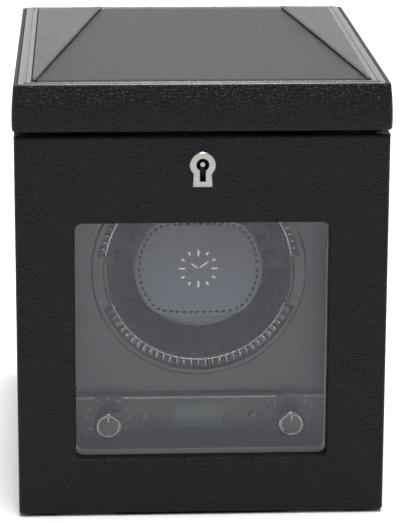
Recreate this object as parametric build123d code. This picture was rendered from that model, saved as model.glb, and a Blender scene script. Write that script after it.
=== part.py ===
from build123d import *
from math import atan, cos, pi, radians, sin, sqrt, tan
import os

# Watch winder box: a leatherette-wrapped case with a rear-hinged lid and a drop-front door
# with a window. Behind the window a motor turns a drum that holds one watch on a cuff.
# Millimetres. The origin is the centre of the outline at the base, the front faces -Y, +Z is up.
# Depths are measured backwards from the outer face of the door.

# ---- driving dimensions: case ----
case_width = 158.0
case_depth = 205.0
case_top = 168.2
base_gap = 1.0
board = 9.0
base_board_thickness = 9.0
edge_round = 1.5
lining = 1.5
door_thickness = 14.0
door_gap = 0.3

# ---- lid ----
lid_height = 19.8
lid_overhang = 0.8
lid_wall = 11.0
lid_board = 5.0
lid_padding = 5.0
lid_fit = 0.3
lid_recess = 1.6
lid_lip = 2.6
trim_width = 6.0
trim_height = 1.9
ridge_height = 0.5
ridge_half = 0.5
pad_height = 2.2
wing_height = 1.1
wing_back_left = 31.0
wing_back_right = 23.0
wing_front = 1.5
piece_gap = 0.1

# ---- window ----
window_half_width = 54.0
window_bottom = 26.0
window_top = 130.6
window_corner = 3.3
window_edge_round = 0.8
glass_setback = 4.0
glass_thickness = 3.0
glass_rebate = 5.0
glass_clearance = 0.3

# ---- hinges ----
hinge_pin_radius = 0.8
hinge_knuckle_radius = 1.6
hinge_leaf = 0.8
hinge_leaf_gap = 0.2
hinge_length = 24.0
hinge_spacing = 50.0
hinge_reach = 20.0
leaf_setback = 1.4
hinge_running_gap = 0.3
pin_clearance = 0.05
lid_axis_out = 1.0

# ---- lock ----
lock_drop = 12.3
lock_half_width = 16.0
lock_below = 8.0
lock_above = 9.0
lock_setback = 6.0
keyhole_radius = 2.75
keyhole_slot = 2.6
keyhole_drop = 7.2
keyhole_depth = 4.0
key_pin_radius = 1.0
key_pin_setback = 0.2
escutcheon_radius = 5.5
escutcheon_foot = 8.3
escutcheon_drop = 9.6
escutcheon_thickness = 1.2
escutcheon_proud = 0.7
tab_thickness = 1.8
tab_length = 10.0
tab_slot = 6.0
bolt_size = 3.0
bolt_clearance = 0.2
bolt_length = 9.0
bolt_drop = 4.2
bolt_room = 1.0
strike_half_width = 12.0
strike_thickness = 1.2
strike_lead = 3.0
strike_gap = 0.4

# ---- winder module ----
module_side_gap = 1.5
module_top_gap = 5.2
module_rear_gap = 6.0
module_wall = 2.5
fascia_depth = 32.0
fascia_wall = 3.0
fascia_back = 38.0
console_depth = 27.0
console_top = 46.0
console_round = 2.5
rear_cover = 3.0
vent_count = 6
vent_pitch = 7.0
vent_height = 2.5
vent_half_width = 20.0
vent_bottom = 100.0

# ---- drum ----
drum_height = 101.5
drum_bore = 40.4
drum_wall = 3.0
drum_front = 36.5
drum_length = 58.0
bezel_step = 0.4
bezel_width = 3.4
bezel_inner_depth = 34.0
bezel_outer_depth = 32.2
flute_count = 84
flute_depth = 0.55
aperture_clearance = 0.5
collar_width = 2.6
collar_proud = 2.0
lip_overhang = 1.0
lip_bead = 1.1
lip_gap = 0.6
lip_span = 30.0
lip_centre_angle = -6.0
lip_thickness = 1.6
shaft_radius = 4.0
bush_outer = 8.0
bush_length = 4.0

# ---- drive ----
gear_module = 1.0
drum_teeth = 60
pinion_teeth = 12
backlash = 0.25
mesh_clearance = 0.15
gear_face = 5.0
plate_depth = 103.0
plate_thickness = 3.0
boss_length = 12.0
boss_radius = 11.0
motor_shaft_radius = 1.5
motor_radius = 12.0
motor_length = 30.0
gearbox_length = 12.0
gearbox_half = 14.0

# ---- cuff ----
cuff_radius = 28.2
cuff_flat = 22.2
cuff_depth = 35.0
cuff_face_thickness = 3.0
cuff_body_radius = 29.0
cuff_body_length = 38.0
cuff_plate = 3.0
cuff_spine = (8.0, 5.0)
cuff_spine_inset = 6.0
cuff_arm_extra = 4.0
cuff_arm_tip = 36.5
cuff_arm_half = 3.0
rail_inner = 33.0
rail_half = 7.0
rail_length = 30.0
rail_clearance = 0.3

# ---- controls ----
control_height = 36.0
knob_offset = 40.0
knob_radius = 6.0
knob_front = 14.6
knob_ring_length = 6.0
knob_ring_width = 2.0
knob_body_radius = 5.6
knob_gap = 0.4
knob_stem_radius = 2.0
turret_radius = 10.6
turret_proud = 1.0
button_offset = 24.2
button_radius = 2.1
button_clearance = 0.25
button_travel = 0.5
lcd_half_width = 11.0
lcd_half_height = 4.7
lcd_frame = 1.6
lcd_frame_depth = 0.5
lens_thickness = 1.2
board_depth = 33.0
board_thickness = 1.6
switch_case = 5.5
tact_half = 3.0
tact_height = 1.6
tact_plunger = 0.3

# ---- other small pieces ----
bumper_radius = 2.5
bumper_front = 8.0
bumper_rear = 12.0
magnet_drop = 20.2
magnet_radius = 3.0
magnet_length = 4.0
keeper_thickness = 1.0
jack_radius = 4.0
jack_bore = 2.75
jack_hole = 6.0
jack_height = 30.0
screw_radius = 1.5
screw_head = 2.8
cover_screw_inset = 6.0
motor_screw_inset = 4.0

# ---- places worked out from the sizes above ----
axis_radius = hinge_knuckle_radius + base_gap
outline_depth = lid_overhang + case_depth + lid_axis_out + hinge_knuckle_radius
front = lid_overhang - outline_depth / 2
half = case_width / 2
inside = half - board
lid_gap = hinge_knuckle_radius + hinge_leaf_gap
lid_bottom = case_top + lid_gap
lid_top = lid_bottom + lid_height
case_front = door_thickness + door_gap
door_axis_depth = axis_radius
door_axis_height = axis_radius
lid_axis_depth = case_depth + lid_axis_out
lid_axis_height = lid_bottom - hinge_leaf_gap
short_leaf = door_thickness - door_axis_depth - leaf_setback
floor_top = base_gap + base_board_thickness
lining_inner = inside - lining
recess_floor = lid_top - lid_recess
ceiling = recess_floor - lid_board
module_half_width = lining_inner - module_side_gap
module_bottom = floor_top + lining
module_top = case_top - module_top_gap
module_back = case_depth - board - module_rear_gap
bezel_inner = drum_bore + bezel_step
bezel_outer = bezel_inner + bezel_width
lip_inner = bezel_inner - lip_overhang
pinion_height = drum_height - gear_module * (drum_teeth + pinion_teeth) / 2 - mesh_clearance
drum_back = drum_front + drum_length
knob_back = console_depth - turret_proud - knob_gap
bushing_radius = knob_radius / 2
lock_height = case_top - lock_drop
lock_bottom = lock_height - lock_below
lock_top = lock_height + lock_above
tab_depth = (lock_setback + 2.0, door_thickness - 1.0)
bolt_height = lock_top - bolt_drop
bolt_depth = (tab_depth[0] + tab_depth[1]) / 2


def at(depth):
    """Y of a plane this far behind the door's outer face."""
    return front + depth


def block(x, depth, z):
    """Box from ranges in X, depth and Z."""
    centre = ((x[0] + x[1]) / 2, at((depth[0] + depth[1]) / 2), (z[0] + z[1]) / 2)
    return Pos(*centre) * Box(x[1] - x[0], depth[1] - depth[0], z[1] - z[0])


def rod(x, z, radius, depth):
    """Round bar along Y."""
    length = depth[1] - depth[0]
    return Pos(x, at((depth[0] + depth[1]) / 2), z) * Rot(90, 0, 0) * Cylinder(radius, length)


def rod_across(depth, z, radius, x):
    """Round bar along X."""
    return Pos((x[0] + x[1]) / 2, at(depth), z) * Rot(0, 90, 0) * Cylinder(radius, x[1] - x[0])


def rod_up(x, depth, radius, z):
    """Round bar along Z."""
    return Pos(x, at(depth), (z[0] + z[1]) / 2) * Cylinder(radius, z[1] - z[0])


def ring(x, z, outer, inner, depth):
    """Round tube along Y."""
    return rod(x, z, outer, depth) - rod(x, z, inner, depth)


def upright(sketch, depth):
    """Extrude a sketch drawn in X and Z through a range of depth."""
    plane = Plane(origin=(0, at(depth[0]), 0), x_dir=(1, 0, 0), z_dir=(0, -1, 0))
    return extrude(plane * sketch, -(depth[1] - depth[0]))


def window_shape(grow, corner):
    """Rounded window outline, grown on every side."""
    width = 2 * (window_half_width + grow)
    height = window_top - window_bottom + 2 * grow
    middle = (window_top + window_bottom) / 2
    return Pos(0, middle) * RectangleRounded(width, height, corner)


# ---- hinges ----
def hinge_zones(kind):
    """X ranges of the knuckles of one kind on a hinge centred at x = 0."""
    end = hinge_length / 2
    middle = hinge_length / 6
    gap = hinge_running_gap / 2
    if kind == "moving":
        return [(-middle + gap, middle - gap)]
    return [(-end, -middle - gap), (middle + gap, end)]


def hinge_pieces(axis_depth, axis_z, side):
    """Fixed leaf, moving leaf and pin of one hinge at x = 0. The leaves lie along side (+1 back)."""
    low = axis_z - hinge_knuckle_radius
    fixed_z = (low, low + hinge_leaf)
    moving_top = axis_z + hinge_leaf_gap
    moving_z = (moving_top - hinge_leaf, moving_top)
    end = hinge_length / 2
    reach = (0, hinge_reach) if side > 0 else (-hinge_reach, 0)
    depth = (axis_depth + reach[0], axis_depth + reach[1])
    short = (axis_depth, axis_depth + short_leaf) if side > 0 else (axis_depth - short_leaf, axis_depth)
    pin = rod_across(axis_depth, axis_z, hinge_pin_radius, (-end, end))
    leaves = []
    for kind, other, z, span in (("fixed", "moving", fixed_z, depth), ("moving", "fixed", moving_z, short)):
        leaf = block((-end, end), span, z)
        for zone in hinge_zones(other):
            wide = (zone[0] - hinge_running_gap / 2, zone[1] + hinge_running_gap / 2)
            clear = hinge_knuckle_radius + hinge_running_gap
            leaf -= rod_across(axis_depth, axis_z, clear, wide)
        for zone in hinge_zones(kind):
            leaf += rod_across(axis_depth, axis_z, hinge_knuckle_radius, zone)
        hole = hinge_pin_radius + (pin_clearance if kind == "moving" else 0)
        leaf -= rod_across(axis_depth, axis_z, hole, (-end, end))
        leaves.append(leaf)
    return leaves[0], leaves[1], pin


def in_pairs(piece):
    """The same hinge piece at the left and right hinge, as separate solids."""
    return [Pos(-hinge_spacing, 0, 0) * piece, Pos(hinge_spacing, 0, 0) * piece]


def knuckle_room(axis_depth, axis_z):
    """Round clearance that a board leaves for both hinges of a pair."""
    end = hinge_length / 2 + hinge_running_gap
    radius = hinge_knuckle_radius + hinge_running_gap
    cut = rod_across(axis_depth, axis_z, radius, (-end, end))
    return [Pos(-hinge_spacing, 0, 0) * cut, Pos(hinge_spacing, 0, 0) * cut]


def leaf_seats(z, depth):
    """Shallow seats for the hinge leaves."""
    end = hinge_length / 2
    seat = block((-end, end), depth, z)
    return [Pos(-hinge_spacing, 0, 0) * seat, Pos(hinge_spacing, 0, 0) * seat]


# ---- case ----
def base_board():
    body = block((-half, half), (case_front, case_depth), (base_gap, floor_top))
    edges = body.edges().filter_by(Axis.Z).group_by(Axis.Y)[-1]
    body = fillet(edges, edge_round)
    seat_top = base_gap + hinge_leaf
    for seat in leaf_seats((base_gap, seat_top), (case_front, door_axis_depth + hinge_reach)):
        body -= seat
    return body


def base_felt():
    inset = 3.0
    start = door_axis_depth + hinge_reach + 2.0
    x = half - inset
    return block((-x, x), (start, case_depth - inset), (0, base_gap))


def side_panel(sign):
    x = (inside, half) if sign > 0 else (-half, -inside)
    body = block(x, (case_front, case_depth), (floor_top, case_top))
    edges = body.edges().filter_by(Axis.Z).group_by(Axis.Y)[-1].sort_by(Axis.X)
    body = fillet(edges[-1] if sign > 0 else edges[0], edge_round)
    spot = magnet_spot(sign)
    return body - rod(spot[0], spot[1], magnet_radius, (case_front, case_front + magnet_length))


def magnet_spot(sign):
    return sign * (half - board / 2), case_top - magnet_drop


def door_magnets():
    pieces = []
    for sign in (-1, 1):
        x, z = magnet_spot(sign)
        pieces.append(rod(x, z, magnet_radius, (case_front, case_front + magnet_length)))
    return Compound(children=pieces)


def door_keepers():
    pieces = []
    for sign in (-1, 1):
        x, z = magnet_spot(sign)
        pieces.append(rod(x, z, magnet_radius, (door_thickness - keeper_thickness, door_thickness)))
    return Compound(children=pieces)


def rear_panel():
    body = block((-inside, inside), (case_depth - board, case_depth), (floor_top, case_top))
    for room in knuckle_room(lid_axis_depth, lid_axis_height):
        body -= room
    return body - rod(0, jack_height, jack_hole, (case_depth - board, case_depth))


def side_lining(sign):
    x = (lining_inner, inside) if sign > 0 else (-inside, -lining_inner)
    return block(x, (case_front + 1.0, case_depth - board), (floor_top + lining, case_top - 1.0))


def floor_lining():
    depth = (case_front + 1.0, case_depth - board)
    return block((-inside, inside), depth, (floor_top, floor_top + lining))


def lid_bumpers():
    pieces = []
    height = (case_top, lid_bottom - piece_gap)
    for x in (-half + board / 2, half - board / 2):
        for depth in (case_front + bumper_front, case_depth - bumper_rear):
            pieces.append(rod_up(x, depth, bumper_radius, height))
    return Compound(children=pieces)


# ---- door ----
def door_profile():
    """Side outline of the door: its lower front edge is round about the hinge axis."""
    sweep = radians(26)
    bottom = door_axis_height + hinge_leaf_gap - hinge_leaf
    y0 = at(0)
    axis_y = at(door_axis_depth)
    nose = (axis_y - axis_radius * cos(sweep), door_axis_height - axis_radius * sin(sweep))
    mid = (axis_y - axis_radius * cos(sweep / 2), door_axis_height - axis_radius * sin(sweep / 2))
    outline = [
        Line((y0, case_top), (y0, door_axis_height)),
        ThreePointArc((y0, door_axis_height), mid, nose),
        Line(nose, (nose[0] + 0.5, bottom)),
        Line((nose[0] + 0.5, bottom), (at(door_thickness), bottom)),
        Line((at(door_thickness), bottom), (at(door_thickness), case_top)),
        Line((at(door_thickness), case_top), (y0, case_top)),
    ]
    return make_face(outline), bottom


def door_panel():
    face, bottom = door_profile()
    plane = Plane(origin=(-half, 0, 0), x_dir=(0, 1, 0), z_dir=(1, 0, 0))
    body = extrude(plane * face, case_width)
    front_edges = body.edges().filter_by(Axis.Z).group_by(Axis.Y)[0]
    top_edges = body.edges().filter_by(Axis.X).group_by(Axis.Z)[-1]
    body = fillet(list(front_edges) + [top_edges.sort_by(Axis.Y)[0]], edge_round)
    body -= upright(window_shape(0, window_corner), (-1, door_thickness + 1))
    opening = body.faces().sort_by(Axis.Y)[0].inner_wires()[0].edges()
    body = fillet(opening, window_edge_round)
    rebate = glass_rebate + glass_clearance
    body -= upright(window_shape(rebate, window_corner), (glass_setback, door_thickness + 1))
    for room in knuckle_room(door_axis_depth, door_axis_height):
        body -= room
    seat = (bottom, bottom + hinge_leaf)
    for cut in leaf_seats(seat, (door_axis_depth, door_axis_depth + short_leaf)):
        body -= cut
    body -= lock_envelope()
    body -= upright(keyhole_shape(), (-1, lock_setback))
    body -= upright(escutcheon_shape(), (-1, escutcheon_thickness - escutcheon_proud))
    notch = tab_slot / 2 + 0.5
    body -= block((-notch, notch), (lock_setback + 1.0, door_thickness + 1), (lock_top, case_top + 1))
    for sign in (-1, 1):
        x, z = magnet_spot(sign)
        body -= rod(x, z, magnet_radius, (door_thickness - keeper_thickness, door_thickness))
    return body


def window_glass():
    return upright(window_shape(glass_rebate, window_corner), (glass_setback, glass_setback + glass_thickness))


def glass_retainer():
    depth = (glass_setback + glass_thickness, door_thickness)
    return upright(window_shape(glass_rebate, window_corner) - window_shape(0, window_corner), depth)


# ---- lock ----
def keyhole_shape():
    slot = Pos(0, lock_height - keyhole_drop / 2) * Rectangle(keyhole_slot, keyhole_drop)
    return Pos(0, lock_height) * Circle(keyhole_radius) + slot


def escutcheon_shape():
    foot = escutcheon_foot / 2
    waist = foot - 0.5
    low = lock_height - escutcheon_drop
    flare = Polyline((-waist, lock_height), (waist, lock_height), (foot, low), (-foot, low), close=True)
    return Pos(0, lock_height) * Circle(escutcheon_radius) + make_face(flare)


def escutcheon():
    depth = (-escutcheon_proud, escutcheon_thickness - escutcheon_proud)
    body = upright(escutcheon_shape(), depth)
    rim = body.faces().sort_by(Axis.Y)[0].edges()
    body = chamfer(rim, 0.3)
    return body - upright(keyhole_shape(), (-2, 2))


def lock_envelope():
    x = (-lock_half_width, lock_half_width)
    return block(x, (lock_setback, door_thickness), (lock_bottom, lock_top))


def lock_case():
    body = lock_envelope()
    socket = (lock_setback, lock_setback + keyhole_depth)
    body -= rod(0, lock_height, keyhole_radius, socket)
    slot = tab_slot / 2
    low = lid_bottom - tab_length - 0.8
    body -= block((-slot, slot), (lock_setback + 1.0, door_thickness), (low, lock_top))
    room = bolt_size / 2 + bolt_clearance
    x = (-slot - bolt_length - bolt_room, -slot)
    body -= block(x, (bolt_depth - room, bolt_depth + room), (bolt_height - room, bolt_height + room))
    return body


def lock_bolt():
    tip = -tab_slot / 2 - 0.5
    side = bolt_size / 2
    depth = (bolt_depth - side, bolt_depth + side)
    body = block((tip - bolt_length, tip), depth, (bolt_height - side, bolt_height + side))
    return chamfer(body.faces().sort_by(Axis.X)[-1].edges(), 0.4)


def key_pin():
    return rod(0, lock_height, key_pin_radius, (key_pin_setback, lock_setback + keyhole_depth))


def strike_flange():
    x = (-strike_half_width, strike_half_width)
    depth = (tab_depth[0] - strike_lead, lid_wall - lid_overhang - strike_gap)
    return block(x, depth, (lid_bottom, lid_bottom + strike_thickness))


def strike_plate():
    """Flange let into the lid's front rail, with an eye that hangs into the lock."""
    depth = (tab_depth[0] + 0.5, tab_depth[1] - 0.5)
    tab = block((-tab_thickness / 2, tab_thickness / 2), depth, (lid_bottom - tab_length, lid_bottom))
    eye = bolt_size * 0.5 * sqrt(2) + 0.3
    tab -= rod_across(bolt_depth, bolt_height, eye, (-tab_thickness, tab_thickness))
    return strike_flange() + tab


# ---- lid ----
def lid_outline(inset, z):
    x = half + lid_overhang - inset
    return block((-x, x), (inset - lid_overhang, case_depth - inset), z)


def lid_shell():
    body = lid_outline(0, (lid_bottom, lid_top))
    corners = body.edges().filter_by(Axis.Z)
    body = fillet(corners, edge_round)
    rim = body.faces().sort_by(Axis.Z)[-1].edges()
    body = fillet(rim, edge_round)
    body -= lid_outline(lid_lip, (recess_floor, lid_top + 1))
    body -= lid_outline(lid_wall, (lid_bottom - 1, ceiling))
    for room in knuckle_room(lid_axis_depth, lid_axis_height):
        body -= room
    return body - strike_flange()


def lid_lining():
    return lid_outline(lid_wall + lid_fit, (ceiling - lid_padding, ceiling))


def trim_frame():
    top = recess_floor + trim_height
    middle = lid_lip + trim_width / 2
    frame = lid_outline(lid_lip + piece_gap, (recess_floor, top))
    frame -= lid_outline(lid_lip + trim_width, (recess_floor - 1, top + 1))
    ridge = lid_outline(middle - ridge_half, (top, top + ridge_height))
    ridge -= lid_outline(middle + ridge_half, (top - 1, top + 1))
    return frame + ridge


def pad_inset():
    return lid_lip + trim_width + piece_gap


def lid_pad():
    return lid_outline(pad_inset(), (recess_floor, recess_floor + pad_height))


def lid_wing(sign):
    """Triangular leather flap over the pad: wide at the back, nearly a point at the front."""
    base = recess_floor + pad_height
    x = half + lid_overhang - pad_inset()
    y0 = at(pad_inset() - lid_overhang)
    y1 = at(case_depth - pad_inset())
    back = wing_back_right if sign > 0 else wing_back_left
    points = [(sign * x, y0), (sign * (x - wing_front), y0), (sign * (x - back), y1), (sign * x, y1)]
    face = make_face(Polyline(*points, close=True))
    return Pos(0, 0, base) * extrude(face, wing_height, dir=(0, 0, 1))


# ---- winder housing ----
def fascia_profile():
    """Side outline of the fascia: a flat wall above a console that stands forward."""
    y0 = at(console_depth)
    y1 = at(fascia_depth)
    y2 = at(fascia_back)
    bend = (y0 + console_round * (1 - cos(pi / 4)), console_top - console_round * (1 - sin(pi / 4)))
    outline = [
        Line((y0, module_bottom), (y0, console_top - console_round)),
        ThreePointArc((y0, console_top - console_round), bend, (y0 + console_round, console_top)),
        Line((y0 + console_round, console_top), (y1, console_top)),
        Line((y1, console_top), (y1, module_top)),
        Line((y1, module_top), (y2, module_top)),
        Line((y2, module_top), (y2, module_bottom)),
        Line((y2, module_bottom), (y0, module_bottom)),
    ]
    return make_face(outline)


def retaining_lips():
    """Two smooth arc lips of the fascia, with a rounded bead, that overlap the drum's rim at each side."""
    depth = (bezel_outer_depth - lip_gap - lip_thickness, bezel_outer_depth - lip_gap)
    outer = bezel_outer + aperture_clearance + collar_width / 2
    bead_radius = lip_inner + lip_bead
    lip = ring(0, drum_height, outer, bead_radius, depth)
    bead = Rot(90, 0, 0) * Torus(bead_radius, lip_bead)
    lip += Pos(0, at(depth[1] - lip_bead), drum_height) * bead
    reach = 1.3 * outer
    span = radians(lip_span / 2)
    middle = radians(lip_centre_angle)
    pieces = []
    for sign in (-1, 1):
        a0 = (sign * reach * cos(middle - span), drum_height + reach * sin(middle - span))
        a1 = (sign * reach * cos(middle + span), drum_height + reach * sin(middle + span))
        face = make_face(Polyline((0, drum_height), a0, a1, close=True))
        wedge = upright(face, (depth[0] - lip_bead, depth[1] + lip_bead))
        pieces.append(lip & wedge)
    return pieces


def fascia():
    plane = Plane(origin=(-module_half_width, 0, 0), x_dir=(0, 1, 0), z_dir=(1, 0, 0))
    body = extrude(plane * fascia_profile(), 2 * module_half_width)
    x = (-module_half_width + module_wall, module_half_width - module_wall)
    low = (module_bottom + module_wall, console_top - module_wall)
    high = (console_top - module_wall, module_top - module_wall)
    body -= block(x, (console_depth + module_wall, fascia_back), low)
    body -= block(x, (fascia_depth + fascia_wall, fascia_back), high)
    hole = bezel_outer + aperture_clearance
    collar = rod(0, drum_height, hole + collar_width, (fascia_depth - collar_proud, fascia_depth + fascia_wall))
    outer_edge = collar.edges().filter_by(GeomType.CIRCLE).sort_by(Axis.Y)[0]
    body += fillet(outer_edge, 1.2)
    body -= rod(0, drum_height, hole, (0, fascia_back))
    for lip in retaining_lips():
        body += lip
    for x0 in (-knob_offset, knob_offset):
        depth = (console_depth - turret_proud, console_depth + module_wall)
        body += rod(x0, control_height, turret_radius, depth)
        body -= rod(x0, control_height, bushing_radius + piece_gap, (0, fascia_back))
    for x0 in (-button_offset, button_offset):
        body -= rod(x0, control_height, button_radius + button_clearance, (0, fascia_back))
    body -= lcd_block(lcd_frame, (console_depth - 1, console_depth + lcd_frame_depth))
    return body - lcd_block(0, (console_depth - 1, console_depth + module_wall))


def housing_body():
    x = module_half_width
    body = block((-x, x), (fascia_back, module_back), (module_bottom, module_top))
    inner = x - module_wall
    z = (module_bottom + module_wall, module_top - module_wall)
    return body - block((-inner, inner), (fascia_back, module_back), z)


def housing_cover():
    x = module_half_width
    body = block((-x, x), (module_back, module_back + rear_cover), (module_bottom, module_top))
    body -= rod(0, jack_height, jack_radius, (module_back, module_back + rear_cover))
    for x0, z0 in cover_screw_places():
        body -= rod(x0, z0, screw_radius, (module_back, module_back + rear_cover))
    for step in range(vent_count):
        z0 = vent_bottom + vent_pitch * step
        x = (-vent_half_width, vent_half_width)
        body -= block(x, (module_back, module_back + rear_cover), (z0, z0 + vent_height))
    return body


def cover_screw_places():
    x = module_half_width - cover_screw_inset
    heights = (module_bottom + cover_screw_inset, module_top - cover_screw_inset)
    return [(sign * x, z) for sign in (-1, 1) for z in heights]


def cover_screws():
    pieces = []
    top = module_back + rear_cover
    for x0, z0 in cover_screw_places():
        shank = rod(x0, z0, screw_radius, (module_back - 1.0, top))
        pieces.append(shank + rod(x0, z0, screw_head, (top, top + 1.4)))
    return Compound(children=pieces)


def dc_jack():
    socket_end = module_back + rear_cover
    body = block((-5.5, 5.5), (module_back - 12.0, module_back), (jack_height - 5.5, jack_height + 5.5))
    body += rod(0, jack_height, jack_radius, (module_back, socket_end + 1.0))
    body -= rod(0, jack_height, jack_bore, (module_back - 9.0, socket_end + 1.0))
    return body + rod(0, jack_height, 0.9, (module_back - 9.5, socket_end))


# ---- drum ----
def drum_shell():
    outer = drum_bore + drum_wall
    body = rod(0, drum_height, outer, (drum_front, drum_back))
    body -= rod(0, drum_height, drum_bore, (drum_front, drum_back - drum_wall))
    for sign in (-1, 1):
        x = sorted((sign * rail_inner, sign * (drum_bore + 0.5)))
        z = (drum_height - rail_half, drum_height + rail_half)
        rail = block(x, (drum_back - drum_wall - rail_length, drum_back - drum_wall), z)
        slot_x = sorted((sign * rail_inner, sign * (cuff_arm_tip + rail_clearance)))
        slot_half = cuff_arm_half + rail_clearance
        slot_z = (drum_height - slot_half, drum_height + slot_half)
        rail -= block(slot_x, (drum_back - drum_wall - rail_length, drum_back - drum_wall), slot_z)
        body += rail
    body += rod(0, drum_height, bush_outer, (drum_back, plate_depth - 1.0))
    return body - rod(0, drum_height, shaft_radius, (drum_back - drum_wall, plate_depth))


def drum_bezel():
    """Ring whose sloping face is cut with fine flutes, which scallop its inner edge."""
    outline = [
        (bezel_inner, drum_front),
        (bezel_inner, bezel_inner_depth),
        (bezel_outer, bezel_outer_depth),
        (bezel_outer, drum_front),
    ]
    points = [(r, at(depth)) for r, depth in outline]
    face = make_face(Polyline(*points, close=True))
    body = revolve(face, Axis.Y, 360)
    slope = atan((bezel_inner_depth - bezel_outer_depth) / (bezel_outer - bezel_inner))
    pitch = 2 * pi * bezel_inner / flute_count
    radius = (pitch * pitch / 4 + flute_depth * flute_depth) / (2 * flute_depth)
    lift = radius - flute_depth
    length = 3 * (bezel_outer - bezel_inner)
    middle_r = (bezel_inner + bezel_outer) / 2
    middle_y = at((bezel_inner_depth + bezel_outer_depth) / 2)
    cutter = Pos(middle_r - lift * sin(slope), middle_y - lift * cos(slope), 0)
    cutter = cutter * Rot(0, 0, -slope * 180 / pi) * Rot(0, 90, 0) * Cylinder(radius, length)
    cutters = [Rot(0, 360 * step / flute_count, 0) * cutter for step in range(flute_count)]
    body = body.cut(*cutters)
    return Pos(0, 0, drum_height) * body


def drum_shaft():
    return rod(0, drum_height, shaft_radius, (drum_back - drum_wall, plate_depth + boss_length + 3.5))


def shaft_clip():
    start = plate_depth + boss_length + 1.0
    return ring(0, drum_height, shaft_radius + 2.5, shaft_radius, (start, start + 1.0))


def bearing_plate():
    x = module_half_width - module_wall
    z = (module_bottom + module_wall, module_top - module_wall)
    body = block((-x, x), (plate_depth, plate_depth + plate_thickness), z)
    body += rod(0, drum_height, boss_radius, (plate_depth, plate_depth + boss_length))
    body -= rod(0, drum_height, bush_outer, (plate_depth, plate_depth + boss_length))
    body -= rod(0, pinion_height, motor_shaft_radius + 1.0, (plate_depth, plate_depth + plate_thickness))
    for x0, z0 in motor_screw_places():
        body -= rod(x0, z0, screw_radius, (plate_depth, plate_depth + plate_thickness))
    return body


def drum_bushes():
    inner = shaft_radius + pin_clearance
    ends = (plate_depth, plate_depth + boss_length - bush_length)
    return Compound(children=[ring(0, drum_height, bush_outer, inner, (d, d + bush_length)) for d in ends])


# ---- gears ----
def involute(base, angle):
    return base * (cos(angle) + angle * sin(angle)), base * (sin(angle) - angle * cos(angle))


def gear_blank(teeth, depth, x, z, turn):
    """Spur gear with 20 degree involute flanks, drawn with straight runs between flank points."""
    pitch = gear_module * teeth / 2
    base = pitch * cos(radians(20))
    tip = pitch + gear_module * 0.9
    root = pitch - gear_module * 1.2
    inv20 = tan(radians(20)) - radians(20)
    half_tooth = pi / (2 * teeth) - backlash / (2 * 2 * pitch)
    flank = []
    steps = 2
    start = max(base, root + 0.05)
    for step in range(steps + 1):
        r = start + (tip - start) * step / steps
        roll = sqrt(max((r / base) ** 2 - 1, 0))
        spread = roll - atan(roll)
        flank.append((r, half_tooth + inv20 - spread))
    points = []
    for tooth in range(teeth):
        middle = 2 * pi * tooth / teeth + turn
        rising = [(root, -flank[0][1])] + [(r, -a) for r, a in flank]
        falling = [(r, a) for r, a in reversed(flank)] + [(root, flank[0][1])]
        for r, a in rising + falling:
            points.append((x + r * cos(middle + a), z + r * sin(middle + a)))
    return upright(make_face(Polyline(*points, close=True)), depth)


def drum_gear():
    depth = (drum_back, drum_back + gear_face)
    turn = -pi / 2
    body = gear_blank(drum_teeth, depth, 0, drum_height, turn)
    return body - rod(0, drum_height, bush_outer, depth)


def pinion():
    depth = (drum_back + 0.8, drum_back + gear_face - 0.3)
    turn = pi / 2 + pi / pinion_teeth
    body = gear_blank(pinion_teeth, depth, 0, pinion_height, turn)
    shaft = rod(0, pinion_height, motor_shaft_radius, (drum_back + 0.8, plate_depth + plate_thickness + 6.0))
    return body + shaft


def gearbox():
    depth = (plate_depth + plate_thickness, plate_depth + plate_thickness + gearbox_length)
    x = (-gearbox_half, gearbox_half)
    z = (pinion_height - gearbox_half, pinion_height + gearbox_half)
    body = block(x, depth, z)
    body = fillet(body.edges().filter_by(Axis.Y), 2.0)
    bore = motor_shaft_radius + pin_clearance
    body -= rod(0, pinion_height, bore, (depth[0], depth[0] + 6.5))
    for x0, z0 in motor_screw_places():
        body -= rod(x0, z0, screw_radius, (depth[0], depth[0] + 5.0))
    return body


def motor():
    start = plate_depth + plate_thickness + gearbox_length
    can = rod(0, pinion_height, motor_radius, (start, start + motor_length))
    can = fillet(can.edges().filter_by(GeomType.CIRCLE).sort_by(Axis.Y)[-1], 1.5)
    return can + rod(0, pinion_height, 4.0, (start + motor_length, start + motor_length + 1.5))


def motor_screw_places():
    spot = gearbox_half - motor_screw_inset
    return [(-spot, pinion_height + spot), (spot, pinion_height + spot),
            (-spot, pinion_height - spot), (spot, pinion_height - spot)]


def motor_screws():
    pieces = []
    for x0, z0 in motor_screw_places():
        shank = rod(x0, z0, screw_radius, (plate_depth, plate_depth + plate_thickness + 5.0))
        pieces.append(shank + rod(x0, z0, screw_head, (plate_depth - 1.2, plate_depth)))
    return Compound(children=pieces)


# ---- cuff ----
def cuff_face():
    shape = Circle(cuff_radius) & Rectangle(2 * cuff_radius, 2 * cuff_flat)
    body = upright(Pos(0, drum_height) * shape, (cuff_depth, cuff_depth + cuff_face_thickness))
    return fillet(body.faces().sort_by(Axis.Y)[0].edges(), 1.0)


def cuff_pad():
    start = cuff_depth + cuff_face_thickness
    body = rod(0, drum_height, cuff_body_radius, (start, start + cuff_body_length))
    rims = body.edges().filter_by(GeomType.CIRCLE)
    body = fillet(rims, 4.0)
    half_x, half_z = cuff_spine
    depth = (start + cuff_spine_inset, start + cuff_body_length)
    return body - block((-half_x, half_x), depth, (drum_height - half_z, drum_height + half_z))


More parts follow.
